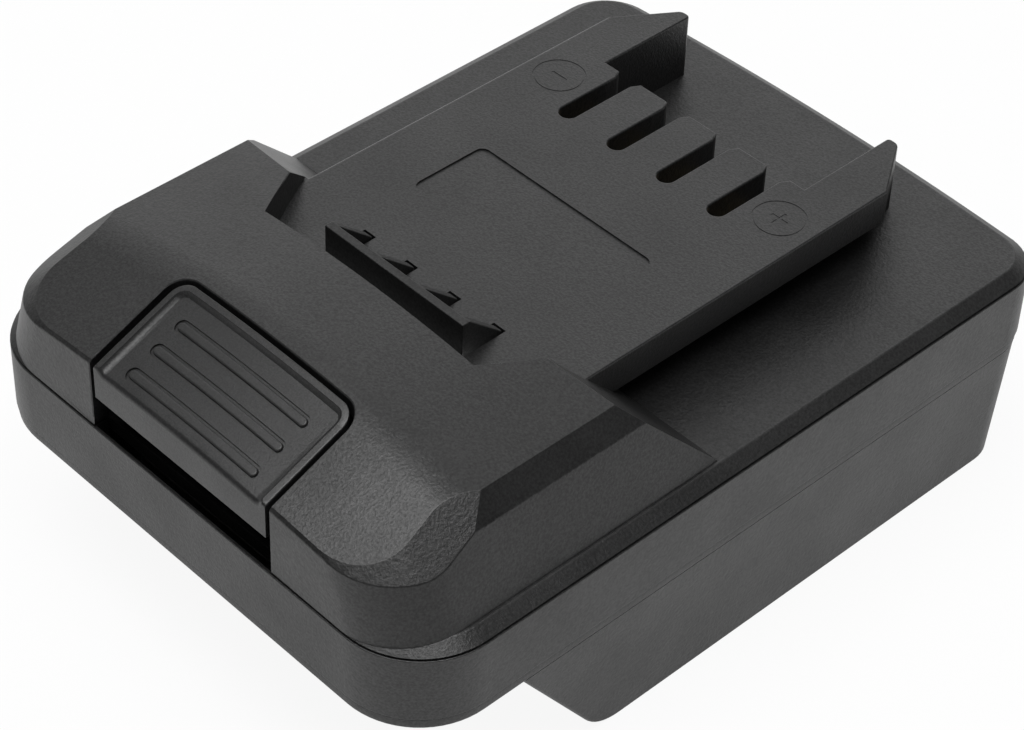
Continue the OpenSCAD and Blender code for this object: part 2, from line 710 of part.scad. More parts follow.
module bottom_shell() color(case_col) {
    pocket_y = front + catch_y;
    difference() {
        union() {
            translate([0, 0, under]) linear_extrude(floor_t) outline(skirt_inset);
            skirts();
            ring(wall + lip_gap, wall + lip_gap + lip_t, bay_h, lip_h);
            translate([-catch_w / 2 - catch_wall, pocket_y - catch_wall, under])
                cube([catch_w + 2 * catch_wall, catch_l + 2 * catch_wall, catch_h + catch_wall]);
            for (p = case_screw_at) translate([p[0], p[1], under])
                cylinder(r = head_r + wall, h = seat_top - under, $fn = 48);
            for (p = block_screw_at) translate([p[0], p[1], under])
                cylinder(r = screw_r + wall / 2, h = floor_t + block_screw_l - seat_web, $fn = 48);
            for (p = board_screw_at) translate([p[0], p[1], under])
                cylinder(r = board_head_r, h = floor_t + standoff_h, $fn = 48);
            for (s = [-1, 1]) translate([s * post_x, post_y, under])
                cylinder(r = guide_r, h = post_top - under, $fn = 48);
        }
        translate([-catch_w / 2, pocket_y, under - eps]) cube([catch_w, catch_l, catch_h + eps]);
        for (p = case_screw_at) translate([p[0], p[1], under - eps]) {
            cylinder(r = head_r + screw_gap, h = head_z - under + eps, $fn = 48);
            cylinder(r = screw_r + screw_gap, h = seat_top - under + 2 * eps, $fn = 48);
        }
        for (p = block_screw_at) translate([p[0], p[1], under - eps])
            cylinder(r = screw_r + screw_gap, h = block_screw_l - seat_web + screw_gap, $fn = 48);
        for (p = board_screw_at) translate([p[0], p[1], bay_h])
            cylinder(r = board_screw_r + screw_gap, h = standoff_h + eps, $fn = 32);
        for (i = [-1 : 1])
            translate([i * blade_pitch - blade_t / 2 - strip_gap, tail_y - strip_gap, under - eps])
            cube([blade_t + 2 * strip_gap, tail_w + 2 * strip_gap, floor_t + 2 * eps]);
    }
}

// Height of the button's rim at a place along Y
function rim_z(y) = seam_a + face_h + (y - front) * tan(slope_deg) - button_drop;

module button_plan(inset) {
    h = button_w / 2 - inset;
    r = recess_r - button_side_gap;
    y1 = button_rear - inset;
    translate([-h, button_front]) square([2 * h, y1 - r - button_front]);
    translate([-h + r, button_front]) square([2 * (h - r), y1 - button_front]);
    for (s = [-1, 1]) translate([s * (h - r), y1 - r]) circle(r, $fn = 48);
}

module release_button() color(case_col) {
    roof = dish_d + button_wall;
    h = button_w / 2 - button_wall;
    difference() {
        intersection() {
            translate([0, 0, button_z]) linear_extrude(block_h) button_plan(0);
            under_slope(button_drop);
        }
        difference() {
            translate([0, 0, button_z]) linear_extrude(block_h) union() {
                button_plan(rim_w);
                translate([-button_w / 2 + rim_w, front - wall])
                    square([button_w - 2 * rim_w, 2 * wall]);
            }
            under_slope(button_drop + dish_d);
        }
        intersection() {
            translate([-h, button_front + button_wall, button_z - eps])
                cube([2 * h, button_l - 2 * button_wall, block_h]);
            under_slope(button_drop + roof);
        }
        translate([-h, peg_y, button_z - eps]) cube([2 * h, button_l, slide_t + stop_gap + eps]);
    }
    for (i = [0 : 2]) intersection() {
        y = button_rear - rib_back - i * rib_pitch;
        translate([0, y, rim_z(y) - roof + wall / 2]) linear_extrude(roof) {
            square([rib_l - rib_w, rib_w], center = true);
            for (s = [-1, 1]) translate([s * (rib_l - rib_w) / 2, 0]) circle(rib_w / 2, $fn = 32);
        }
        under_slope(button_drop + dish_d - rib_h);
    }
    for (s = [-1, 1]) translate([s * peg_pitch / 2, peg_y, slide_z])
        cylinder(r = peg_r, h = rim_z(peg_y) - roof / 2 - slide_z, $fn = 32);
}

module latch_slide() color(case_col) {
    w = tooth_w / 2;
    plate_w = button_w - 2 * (button_wall + button_side_gap);
    difference() {
        union() {
            translate([-plate_w / 2, slide_front, slide_z])
                cube([plate_w, gusset_rear - slide_front, slide_t]);
            translate([-w, tooth_y, slide_z]) cube([tooth_w, gusset_rear - tooth_y, slide_t]);
        }
        for (s = [-1, 1]) {
            translate([s * post_x, post_y, slide_z - eps])
                cylinder(r = guide_r + guide_gap, h = slide_t + 2 * eps, $fn = 48);
            translate([s * peg_pitch / 2, peg_y, slide_z - eps])
                cylinder(r = peg_r, h = slide_t + 2 * eps, $fn = 32);
        }
    }
    translate([-w, tooth_y, slide_top - eps]) cube([tooth_w, tooth_t + tail_w, rail_z - slide_top + eps]);
    translate([-w, tooth_y, rail_z - eps]) cube([tooth_w, tooth_t, tooth_h + eps]);
    for (i = [0 : 3]) translate([-w + i * gusset_step + gusset_t / 2, 0, 0]) across(gusset_t)
        polygon([[tooth_y, slide_top - eps], [tooth_y, rail_z + tooth_h], [tooth_rear, rail_z + tooth_h],
                 [gusset_rear, rail_z], [gusset_rear, slide_top - eps]]);
}

// Coil spring round a guide post, from the floor plate to the slide
module latch_spring(side) color("#b8babd") {
    z0 = bay_h + spring_wire / 2 + eps;
    rise = slide_z - bay_h - spring_wire - 2 * eps;
    rings = spring_turns * 10;
    path = [for (i = [0 : rings]) [side * post_x + spring_r * cos(i * 36), post_y + spring_r * sin(i * 36),
                                   z0 + rise * i / rings]];
    echo(coil_gap = rise / spring_turns - spring_wire);
    tube(path, spring_wire / 2, 6, [1, 0, 0]);
}

module latch_spring_left() latch_spring(-1);

module latch_spring_right() latch_spring(1);

module tool_terminal_holder() color("#222426") {
    stem_rear = clip_y + clip_stem_l + strip_gap;
    difference() {
        translate([-holder_w / 2, holder_y, bay_h]) cube([holder_w, finger_y - holder_y, frame_h]);
        for (x = slot_at) translate([x - stem_t / 2 - strip_gap, holder_y - eps, tab_z - strip_gap])
            cube([stem_t + 2 * strip_gap, stem_rear - holder_y + eps, frame_h]);
    }
}

// Sprung clip with two leaves that pinch the tool's blade, its stem and a solder tab
module clip(x, tab_front, tab_low) color(metal_col) {
    c = clip_half;
    p = clip_pinch / 2;
    y = clip_y;
    e = clip_y + clip_l;
    n = e - clip_l / 4;
    leaf = [[0, y], [c, y], [c, y + clip_l / 4], [p + clip_t, n], [c, e], [c - clip_t, e], [p, n],
            [c - clip_t, y + clip_l / 4], [c - clip_t, y + clip_t], [0, y + clip_t]];
    translate([x, 0, 0]) {
        translate([0, 0, seam_a + eps]) linear_extrude(deck_t + clip_h) union() {
            polygon(leaf);
            mirror([1, 0]) polygon(leaf);
            translate([-clip_half, y]) square([2 * clip_half, clip_t]);
        }
        across(stem_t) polygon([[tab_front, tab_low], [tab_front, tab_low + tab_h], [y, tab_low + tab_h],
                                [y, seam_a + deck_t], [y + clip_t, seam_a + deck_t],
                                [y + clip_t, seam_a - eps], [y + clip_stem_l, seam_a - eps],
                                [y + clip_stem_l, tab_z], [holder_y, tab_z], [holder_y, tab_low]]);
    }
}

module contact_negative() clip(slot_at[0], holder_y - tab_l, tab_z);

module contact_thermal() clip(slot_at[1], board_rear - tab_h, board_top);

module contact_data() clip(slot_at[2], board_rear - tab_h, board_top);

module contact_positive() clip(slot_at[3], holder_y - tab_l, tab_z);

// Side view of a battery blade with its upright tail
module blade_side(gap) {
    translate([term_y - blade_l, blade_z - gap])
        square([blade_l + tail_y - term_y + tail_w + gap, blade_h + 2 * gap]);
    translate([tail_y - gap, blade_z]) square([tail_w + 2 * gap, tail_top - blade_z]);
}

module blade(i) color(metal_col) translate([i * blade_pitch, 0, 0]) across(blade_t) blade_side(0);

module blade_negative() blade(-1);

module blade_signal() blade(0);

module blade_positive() blade(1);

module battery_terminal_block() color("#222426") {
    difference() {
        translate([-block_w / 2, term_y, term_z]) cube([block_w, term_l, term_h]);
        for (i = [-1 : 1]) translate([i * blade_pitch, 0, 0])
            across(blade_t + 2 * strip_gap) blade_side(strip_gap);
        for (p = block_screw_at) translate([p[0], p[1], term_z - eps]) {
            cylinder(r = screw_r + screw_gap, h = term_h + 2 * eps, $fn = 48);
            cylinder(r = head_r + screw_gap, h = under - seat_web - term_z + eps, $fn = 48);
        }
    }
}

module circuit_board() color("#1f5b3a") difference() {
    translate([-board_w / 2, board_front, board_z]) cube([board_w, board_l, board_t]);
    for (p = board_screw_at) translate([p[0], p[1], board_z - eps])
        cylinder(r = board_screw_r + screw_gap, h = board_t + 2 * eps, $fn = 32);
}

module id_resistor() color("#c8b184") {
    z = board_top + resistor_r;
    y = (board_front + board_rear) / 2;
    translate([0, y, z]) rotate([0, 90, 0]) {
        cylinder(r = resistor_r, h = resistor_l, center = true, $fn = 32);
        cylinder(r = lead_r, h = lead_pitch + 2 * lead_r, center = true, $fn = 24);
    }
    for (s = [-1, 1]) translate([s * lead_pitch / 2, y, board_top])
        cylinder(r = lead_r, h = resistor_r, $fn = 24);
}

// Lead from a power clip's tab to a blade's tail
module power_wire(side) {
    tab = [slot_at[3], holder_y - tab_l, tab_z + tab_h / 2];
    tail = [blade_pitch + blade_t / 2, tail_y + tail_w / 2, bay_h + tail_h / 2];
    path = concat([tab - [0, strip_gap, 0], tab - [0, 2 * wire_r, 0]], placed(power_route),
                  [tail + [2 * wire_r, 0, 0], tail + [strip_gap, 0, 0]]);
    tube([for (p = path) [side * p[0], p[1], p[2]]], wire_r, 8, [0, 0, 1]);
}

module wire_negative() color("#1b1b1c") power_wire(-1);

module wire_positive() color("#a3221e") power_wire(1);

module wire_signal() color("#d8c33a") {
    pad = [signal_route[0][0], board_rear - board_inset, board_top + strip_gap];
    tail = [0, tail_y + tail_w, bay_h + tail_h / 2];
    tube(concat([pad, pad + [0, 0, signal_r]], placed(signal_route),
                [tail + [0, signal_r, 0], tail + [0, strip_gap, 0]]), signal_r, 8, [1, 0, 0]);
}

// Pan-head screw pointing up, with a cross recess, its head's seat at the origin
module screw(r, hr, hh, l) {
    difference() {
        translate([0, 0, -hh]) cylinder(r = hr, h = hh, $fn = 48);
        for (a = [0, 90]) rotate([0, 0, a]) translate([-hr * 0.6, -hr * 0.12, -hh - eps])
            cube([hr * 1.2, hr * 0.24, hh * 0.6]);
    }
    translate([0, 0, -eps]) cylinder(r = r, h = l + eps, $fn = 32);
}

module case_screws() color("#55585c") for (p = case_screw_at) translate([p[0], p[1], head_z])
    screw(screw_r, head_r, head_h, case_screw_l);

module block_screws() color("#55585c") for (p = block_screw_at) translate([p[0], p[1], under - seat_web])
    screw(screw_r, head_r, head_h, block_screw_l);

module board_screws() color("#55585c") for (p = board_screw_at) translate([p[0], p[1], board_top])
    mirror([0, 0, 1]) screw(board_screw_r, board_head_r, board_head_h, board_t + standoff_h - screw_gap);

upper_cover();
middle_frame();
bottom_shell();
release_button();
latch_slide();
latch_spring_left();
latch_spring_right();
tool_terminal_holder();
contact_negative();
contact_thermal();
contact_data();
contact_positive();
battery_terminal_block();
blade_negative();
blade_signal();
blade_positive();
circuit_board();
id_resistor();
wire_negative();
wire_positive();
wire_signal();
case_screws();
block_screws();
board_screws();
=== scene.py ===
from math import asin, atan2, copysign, cos, pi, radians, sin, tan

import bmesh
import bpy
from mathutils import Matrix, Vector


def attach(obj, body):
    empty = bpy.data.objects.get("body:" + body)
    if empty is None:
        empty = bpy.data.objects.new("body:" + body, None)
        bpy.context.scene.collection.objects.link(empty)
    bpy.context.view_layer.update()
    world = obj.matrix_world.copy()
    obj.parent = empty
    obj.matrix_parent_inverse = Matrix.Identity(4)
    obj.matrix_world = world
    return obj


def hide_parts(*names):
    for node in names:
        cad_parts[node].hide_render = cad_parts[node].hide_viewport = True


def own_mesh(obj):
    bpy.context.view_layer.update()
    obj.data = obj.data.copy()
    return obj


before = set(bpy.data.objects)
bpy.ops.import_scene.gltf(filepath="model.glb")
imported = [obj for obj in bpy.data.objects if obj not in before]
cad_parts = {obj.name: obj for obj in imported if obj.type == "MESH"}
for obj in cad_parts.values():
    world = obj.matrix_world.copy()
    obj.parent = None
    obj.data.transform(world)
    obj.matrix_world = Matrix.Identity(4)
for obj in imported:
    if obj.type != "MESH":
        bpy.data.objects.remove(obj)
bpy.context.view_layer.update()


# Stage: white paper and a far paper wall in a dim room, under two softboxes, one behind on the left that
# lies on the upper faces as a sheen and one overhead. The paper shows white and still takes the soft shadow.
# The camera looks down on the front right corner through a long lens.
def add(tree, kind, sockets=None, **settings):
    node = tree.nodes.new(kind)
    for key, value in settings.items():
        setattr(node, key, value)
    for key, value in (sockets or {}).items():
        if isinstance(value, bpy.types.NodeSocket):
            tree.links.new(value, node.inputs[key])
        else:
            node.inputs[key].default_value = value
    return node


def blank_material(name):
    material = bpy.data.materials.new(name)
    material.use_nodes = True
    material.node_tree.nodes.clear()
    return material, material.node_tree


paper_material, tree = blank_material("white_paper")
fibre = add(tree, "ShaderNodeTexNoise", {"Vector": add(tree, "ShaderNodeTexCoord").outputs["Object"],
                                         "Scale": 900.0, "Detail": 3.0})
paper_tone = add(tree, "ShaderNodeMapRange", {"Value": fibre.outputs["Fac"], "To Min": 0.88,
                                              "To Max": 0.92})
paper = add(tree, "ShaderNodeBsdfDiffuse", {"Color": paper_tone.outputs["Result"]})
glow = add(tree, "ShaderNodeEmission", {"Color": (1, 1, 1, 1), "Strength": 1.0})
path = add(tree, "ShaderNodeLightPath")
seen = add(tree, "ShaderNodeMath", {0: path.outputs["Is Camera Ray"],
                                    1: path.outputs["Is Transmission Ray"]}, operation="MAXIMUM")
seen = add(tree, "ShaderNodeMath", {0: seen.outputs[0], 1: 0.92}, operation="MULTIPLY")
mirrored = add(tree, "ShaderNodeMath", {0: path.outputs["Is Glossy Ray"], 1: 0.5}, operation="MULTIPLY")
share = add(tree, "ShaderNodeMath", {0: seen.outputs[0], 1: mirrored.outputs[0]}, operation="MAXIMUM")
lit = add(tree, "ShaderNodeMixShader", {0: share.outputs[0], 1: paper.outputs[0], 2: glow.outputs[0]})
add(tree, "ShaderNodeOutputMaterial", {"Surface": lit.outputs[0]})


def paper_piece(name, bm):
    mesh = bpy.data.meshes.new(name)
    bm.to_mesh(mesh)
    bm.free()
    mesh.materials.append(paper_material)
    piece = bpy.data.objects.new(name, mesh)
    bpy.context.scene.collection.objects.link(piece)


bm = bmesh.new()
bmesh.ops.create_circle(bm, cap_ends=True, radius=3.0, segments=64)
paper_piece("floor", bm)

bm = bmesh.new()
foot = bm.verts.new((0.9, 2.6, 0))
head = bm.verts.new((0.9, 2.6, 3.0))
bmesh.ops.spin(bm, geom=[foot, head, bm.edges.new((foot, head))], cent=(0, 0, 0), axis=(0, 0, 1),
               angle=radians(130), steps=40, use_merge=False)
paper_piece("paper_wall", bm)

for name, place, width, height, power in (("softbox_behind", (-0.6, 0.6, 0.66), 1.1, 0.9, 2.3),
                                          ("softbox_above", (0.08, -0.18, 1.0), 1.1, 0.6, 10.5)):
    softbox = bpy.data.lights.new(name, "AREA")
    softbox.shape, softbox.size, softbox.size_y, softbox.energy = "RECTANGLE", width, height, power
    lamp = bpy.data.objects.new(name, softbox)
    lamp.location = place
    lamp.rotation_euler = (Vector((0, 0, 0.03)) - lamp.location).to_track_quat("-Z", "Y").to_euler()
    bpy.context.scene.collection.objects.link(lamp)

room = bpy.data.worlds.new("dim_room")
room.use_nodes = True
room.node_tree.nodes["Background"].inputs["Color"].default_value = (1, 1, 1, 1)
room.node_tree.nodes["Background"].inputs["Strength"].default_value = 0.12
bpy.context.scene.world = room

lens = bpy.data.cameras.new("camera")
lens.lens, lens.sensor_width, lens.sensor_fit = 105.53, 36.0, "HORIZONTAL"
lens.clip_start, lens.clip_end = 0.01, 20.0
camera = bpy.data.objects.new("camera", lens)
right = Vector((0.68612376, 0.72685426, 0.03028308))
up = Vector((-0.50163902, 0.44256047, 0.74330244))
back = Vector((0.52687045, -0.52518864, 0.66826972))
camera.matrix_world = Matrix.Translation((0.197342, -0.198720, 0.270012)) @ Matrix(
    (right, up, back)).transposed().to_4x4()
bpy.context.scene.collection.objects.link(camera)
bpy.context.scene.camera = camera
bpy.context.scene.view_settings.view_transform = "Standard"


# Bottom shell: floor plate with the deep drafted skirts, the battery rails, screw seats and guide posts.
# One injection moulding in black plastic, spark-eroded to a fine matte grain outside, with its
# edges broken by the tool; the sizes below are millimetres and become metres when a piece is finished.
def moulded(name, colour, roughness, grain, depth):
    material, tree = blank_material(name)
    place = add(tree, "ShaderNodeTexCoord").outputs["Object"]
    cloud = add(tree, "ShaderNodeTexNoise", {"Vector": place, "Scale": 75.0, "Detail": 4.0,
                                             "Roughness": 0.6})
    spark = add(tree, "ShaderNodeTexNoise", {"Vector": place, "Scale": grain, "Detail": 1.0,
                                             "Roughness": 0.65})
    pits = add(tree, "ShaderNodeTexNoise", {"Vector": place, "Scale": 0.45 * grain, "Detail": 0.0})
    edge_highlight = add(tree, "ShaderNodeAttribute", attribute_name="edge_highlight")
    tone = add(tree, "ShaderNodeMix", {0: cloud.outputs["Fac"], 6: [0.82 * c for c in colour] + [1],
                                       7: [1.18 * c for c in colour] + [1]}, data_type="RGBA")
    fleck = add(tree, "ShaderNodeMapRange", {"Value": spark.outputs["Fac"], "From Min": 0.35,
                                             "From Max": 0.65, "To Min": 0.75, "To Max": 1.25})
    speckled = add(tree, "ShaderNodeMix", {0: 1.0, 6: tone.outputs[2], 7: fleck.outputs["Result"]},
                   data_type="RGBA", blend_type="MULTIPLY")
    # Narrow edge strips get a lighter colour and a lower roughness; the lighter colour is a painted edge
    # highlight.
    highlight_share = add(tree, "ShaderNodeMath", {0: edge_highlight.outputs["Fac"], 1: cloud.outputs["Fac"]},
               operation="MULTIPLY")
    edge_highlit = add(tree, "ShaderNodeMix", {0: highlight_share.outputs[0], 6: speckled.outputs[2],
                                       7: [1.7 * c + 0.006 for c in colour] + [1]}, data_type="RGBA")
    matte = add(tree, "ShaderNodeMapRange", {"Value": cloud.outputs["Fac"], "From Min": 0.3, "From Max": 0.7,
                                             "To Min": roughness - 0.05, "To Max": roughness + 0.05})
    polish = add(tree, "ShaderNodeMath", {0: highlight_share.outputs[0], 1: -0.12, 2: matte.outputs["Result"]},
                 operation="MULTIPLY_ADD")
    relief = add(tree, "ShaderNodeMath", {0: pits.outputs["Fac"], 1: 0.5, 2: spark.outputs["Fac"]},
                 operation="MULTIPLY_ADD")
    bump = add(tree, "ShaderNodeBump", {"Height": relief.outputs[0], "Strength": 0.6, "Distance": depth})
    sheen = add(tree, "ShaderNodeMapRange", {"Value": spark.outputs["Fac"], "From Min": 0.3, "From Max": 0.7,
                                             "To Min": 0.42, "To Max": 0.58})
    skin = add(tree, "ShaderNodeBsdfPrincipled", {"Base Color": edge_highlit.outputs[2], "IOR": 1.56,
                                                  "Roughness": polish.outputs[0],
                                                  "Specular IOR Level": sheen.outputs["Result"],
                                                  "Normal": bump.outputs["Normal"]})
    add(tree, "ShaderNodeOutputMaterial", {"Surface": skin.outputs[0]})
    return material


def cad_copy(node):
    bm = bmesh.new()
    bm.from_mesh(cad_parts[node].data)
    bmesh.ops.remove_doubles(bm, verts=bm.verts, dist=2e-6)
    bmesh.ops.scale(bm, vec=(1000, 1000, 1000), verts=bm.verts)
    bmesh.ops.dissolve_limit(bm, angle_limit=radians(0.4), verts=bm.verts, edges=bm.edges)
    return bm


def evaluated(bm, prepare):
    mesh = bpy.data.meshes.new("work")
    bm.to_mesh(mesh)
    bm.free()
    work = bpy.data.objects.new("work", mesh)
    bpy.context.scene.collection.objects.link(work)
    prepare(work)
    made = bpy.data.meshes.new_from_object(work.evaluated_get(bpy.context.evaluated_depsgraph_get()))
    bm = bmesh.new()
    bm.from_mesh(made)
    bpy.data.objects.remove(work)
    bpy.data.meshes.remove(mesh)
    bpy.data.meshes.remove(made)
    return bm


def softened(bm, widths, segments):
    """Every edge for which widths(edge) is above 0 is rounded by that many millimetres."""
    layers = bm.edges.layers.float
    weight = layers.get("bevel_weight_edge") or layers.new("bevel_weight_edge")
    bm.normal_update()
    chosen = [(e, widths(e)) for e in bm.edges if len(e.link_faces) == 2]
    widest = max(w for e, w in chosen)
    for e, w in chosen:
        e[weight] = w / widest

    def prepare(work):
        bevel = work.modifiers.new("soften", "BEVEL")
        bevel.limit_method, bevel.offset_type, bevel.width = "WEIGHT", "OFFSET", widest
        bevel.segments, bevel.profile, bevel.use_clamp_overlap = segments, 0.5, False
        bevel.miter_outer = "MITER_ARC"
    bm = evaluated(bm, prepare)
    bm.edges.layers.float.remove(bm.edges.layers.float["bevel_weight_edge"])
    return bm


def turn_of(e):
    return e.calc_face_angle_signed(0.0)


def finish_piece(bm, name, material, body, slot, *nodes):
    """Narrow strips along outer edges are marked for a painted edge highlight, and the piece is put in its
    place.
    """
    edge_highlight = bm.faces.layers.float.new("edge_highlight")
    bm.normal_update()
    for f in bm.faces:
        outer = [e for e in f.edges if len(e.link_faces) == 2 and turn_of(e) > radians(9)]
        narrow = f.calc_area() < 0.45 * max(e.calc_length() for e in f.edges)
        f[edge_highlight] = 1.0 if narrow and len(outer) >= 2 else 0.0
    bmesh.ops.scale(bm, vec=(0.001, 0.001, 0.001), verts=bm.verts)
    mesh = bpy.data.meshes.new(name)
    bm.to_mesh(mesh)
    bm.free()
    mesh.shade_smooth()
    mesh.set_sharp_from_angle(angle=radians(34))
    mesh.materials.append(material)
    piece = bpy.data.objects.new(name, mesh)
    bpy.context.scene.collection.objects.link(piece)
    flats = piece.modifiers.new("flats", "WEIGHTED_NORMAL")
    flats.keep_sharp = True
    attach(piece, body)
    if nodes:
        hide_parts(*nodes)
    return piece


case_black = moulded("case_plastic", (0.006, 0.006, 0.0061), 0.43, 3000.0, 0.00006)


def shell_edges(e):
    return 0.3 if turn_of(e) > radians(25) and e.calc_length() > 0.6 else 0.0


finish_piece(softened(cad_copy("bottom_shell"), shell_edges, 2), "bottom_shell_moulding", case_black,
             "case", "case_plastic", "bottom_shell")


# Middle frame: plain ring of wall between the two seams, 79 mm wide.
# Same moulded plastic; its broken edges leave the dark seam lines above and below it, and its
# front wall is thinned behind the button's opening.
def frame_edges(e):
    return 0.14 if turn_of(e) > radians(60) else 0.0


def bar(x0, x1, y0, y1, z0, z1):
    bm = bmesh.new()
    bmesh.ops.create_cube(bm, size=1.0)
    bmesh.ops.scale(bm, vec=(x1 - x0, y1 - y0, z1 - z0), verts=bm.verts)
    bmesh.ops.translate(bm, vec=((x0 + x1) / 2, (y0 + y1) / 2, (z0 + z1) / 2), verts=bm.verts)
    return bm


def outward(bm):
    bmesh.ops.recalc_face_normals(bm, faces=bm.faces)
    if bm.calc_volume(signed=True) < 0:
        bmesh.ops.reverse_faces(bm, faces=bm.faces)
    return bm


def boolean(operation, bm, *tools):
    outward(bm)
    for tool in tools:
        tool_mesh = bpy.data.meshes.new("tool")
        outward(tool).to_mesh(tool_mesh)
        tool.free()
        tool_object = bpy.data.objects.new("tool", tool_mesh)
        bpy.context.scene.collection.objects.link(tool_object)

        def prepare(work):
            cut = work.modifiers.new("cut", "BOOLEAN")
            cut.operation, cut.solver, cut.object = operation, "MANIFOLD", tool_object
        bm = evaluated(bm, prepare)
        bpy.data.objects.remove(tool_object)
        bpy.data.meshes.remove(tool_mesh)
    return bm


frame_ring = boolean("DIFFERENCE", softened(cad_copy("middle_frame"), frame_edges, 2),
                     bar(-15.9, 15.9, -53.85, -50, 26.0, 31.5))
finish_piece(frame_ring, "middle_frame_ring", case_black, "case", "case_plastic", "middle_frame")


# Upper cover: deck, crowned front block with its notch and button recess, tool rail with ears and slots.
# One moulding in the same black plastic; the block's ridge is generously rounded and its flanks are
# chamfered, the rail's edges only just broken. Four screws from below close it.
def rounded(bm, edges, radius, segments):
    bmesh.ops.bevel(bm, geom=edges, offset=radius, segments=segments, profile=0.5, affect="EDGES",
                    material=-1, clamp_overlap=False)
    return bm


def uprights(bm, y0, y1):
    return [e for e in bm.edges if abs((e.verts[0].co - e.verts[1].co).normalized().z) > 0.999
            and y0 < e.verts[0].co.y < y1]


def drawn_out(bm, faces):
    """Faces are extruded in place, and the vertices of the new ones are returned."""
    made = bmesh.ops.extrude_face_region(bm, geom=faces)["geom"]
    bmesh.ops.delete(bm, geom=faces, context="FACES_ONLY")
    return [g for g in made if isinstance(g, bmesh.types.BMVert)]


def trimmed(bm, point, normal):
    """Everything beyond a plane comes off, and the cut is closed."""
    cut = bmesh.ops.bisect_plane(bm, geom=bm.verts[:] + bm.edges[:] + bm.faces[:], dist=1e-5, plane_co=point,
                                 plane_no=normal, clear_outer=True)
    rim = [g for g in cut["geom_cut"] if isinstance(g, bmesh.types.BMEdge)]
    if len(rim) > 2:
        bmesh.ops.edgeloop_fill(bm, edges=rim)
    return bm


def case_plate(draw_in, z0, z1):
    bm = bar(draw_in - 39.5, 39.5 - draw_in, draw_in - 54.3, 53.2 - draw_in, z0, z1)
    rounded(bm, uprights(bm, -60, 0), 11.0 - draw_in, 16)
    rounded(bm, uprights(bm, 40, 60), 7.0 - draw_in, 12)
    rear = [e for e in bm.edges if min(v.co.y for v in e.verts) > 53.19 - draw_in and e.calc_length() > 20]
    bmesh.ops.subdivide_edges(bm, edges=rear, cuts=15, use_grid_fill=True)
    for v in bm.verts:
        if v.co.y > 53.19 - draw_in:
            v.co.y += 1.1 * (1 - (v.co.x / 32.5) ** 2)
    return bm


SLOPE, RAMP = radians(22.6), radians(45.5)
SLOPE_UP = Vector((0, -sin(SLOPE), cos(SLOPE)))
RAMP_UP = Vector((0, sin(RAMP), cos(RAMP)))
CROWN_R, SLOPE_R = 189.2, 270.0


def tangent(radius, top, up, lean):
    """Point and normal of a crowned surface where it has leant over by an angle."""
    out = up * cos(lean) + Vector((sin(lean), 0, 0))
    return Vector(top) + radius * (out - up), out


def crowned(bm, radius, top, up, degrees):
    for k in range(-12, 13):
        trimmed(bm, *tangent(radius, top, up, radians(degrees) * k))
    return bm


def ridge_edges(e):
    lean = sorted(f.normal.y for f in e.link_faces)
    upper = min(f.normal.z for f in e.link_faces) > 0.8
    return 2.6 if upper and lean[0] < -0.3 and abs(lean[1]) < 0.02 else 0.0


def slope_break(foot, wall, slope_top, down, in_):
    """Plane that takes off the edge between an upright wall and the crowned slope."""
    at, up = tangent(SLOPE_R, slope_top, SLOPE_UP, asin(0.93 * foot.x / SLOPE_R))
    along = wall.cross(up).normalized()
    rise, reach = along.cross(wall), up.cross(along)
    rise, reach = rise if rise.z > 0 else -rise, reach if reach.dot(wall) > 0 else -reach
    edge = foot + rise * (up.dot(at - foot) / up.dot(rise))
    out = along.cross((edge - rise * down) - (edge - reach * in_)).normalized()
    return edge - rise * down, out if out.dot(wall) > 0 else -out


def front_block(draw_in, soft):
    bm = bar(draw_in - 37.25, 37.25 - draw_in, draw_in - 54.15, -2.9, 28.2, 31.87)
    rounded(bm, uprights(bm, -60, -40), 9.5 - draw_in, 14)
    bm.normal_update()
    raised = drawn_out(bm, [f for f in bm.faces if f.normal.z > 0.99])
    for side in (-1, 1):
        bmesh.ops.translate(bm, vec=(-side * 4.8, 0, 15.3), verts=[v for v in raised if v.co.x * side > 0])
    outward(bm)
    slope_top = Vector((0, -54.3, 41.0 - draw_in / cos(SLOPE)))
    planes = []
    for f in bm.faces:
        if max(v.co.z for v in f.verts) < 40 or f.normal.z > 0.6 or f.normal.y > 0.5:
            continue
        feet = [v.co.copy() for v in f.verts if v.co.z < 32]
        foot, wall, side = (feet[0] + feet[1]) / 2, f.normal.copy(), copysign(1, f.normal.x)
        if abs(wall.x) > 0.9 and wall.y > -0.02:
            lean = Vector((-4.7 * side, 0, 5.6))
            out = (feet[1] - feet[0]).cross(lean).normalized()
            at = foot + Vector((-3.05 * side, 0, 9.73 - draw_in / 2))
            planes.append((at, out if out.dot(wall) > 0 else -out))
            planes.append(slope_break(foot, wall, slope_top, 2.7, 3.4))
        elif soft and abs(wall.x) > 0.02:
            turned = atan2(abs(wall.x), -wall.y) / (pi / 2)
            planes.append(slope_break(foot, wall, slope_top, 0.3 + 2.4 * turned ** 2,
                                      0.4 + 3.0 * turned))
        elif soft:
            planes += [slope_break(Vector((2.7 * k, foot.y, foot.z)), wall, slope_top, 0.3, 0.4)
                       for k in range(-10, 11)]
    crowned(bm, CROWN_R, (0, 0, 47.1 - draw_in), Vector((0, 0, 1)), 0.8)
    crowned(bm, SLOPE_R, slope_top, SLOPE_UP, 0.6)
    trimmed(bm, (0, -5.1, 31.9 - draw_in / cos(RAMP)), RAMP_UP)
    if soft:
        bm = softened(outward(bm), ridge_edges, 6)
    for at, out in planes:
        trimmed(bm, at, out)
    return outward(bm)


def block_edges(e):
    if turn_of(e) < radians(13) or min(v.co.z for v in e.verts) < 31.95:
        return 0.0
    return 0.04 if min(f.normal.z for f in e.link_faces) > 0.6 else 0.15


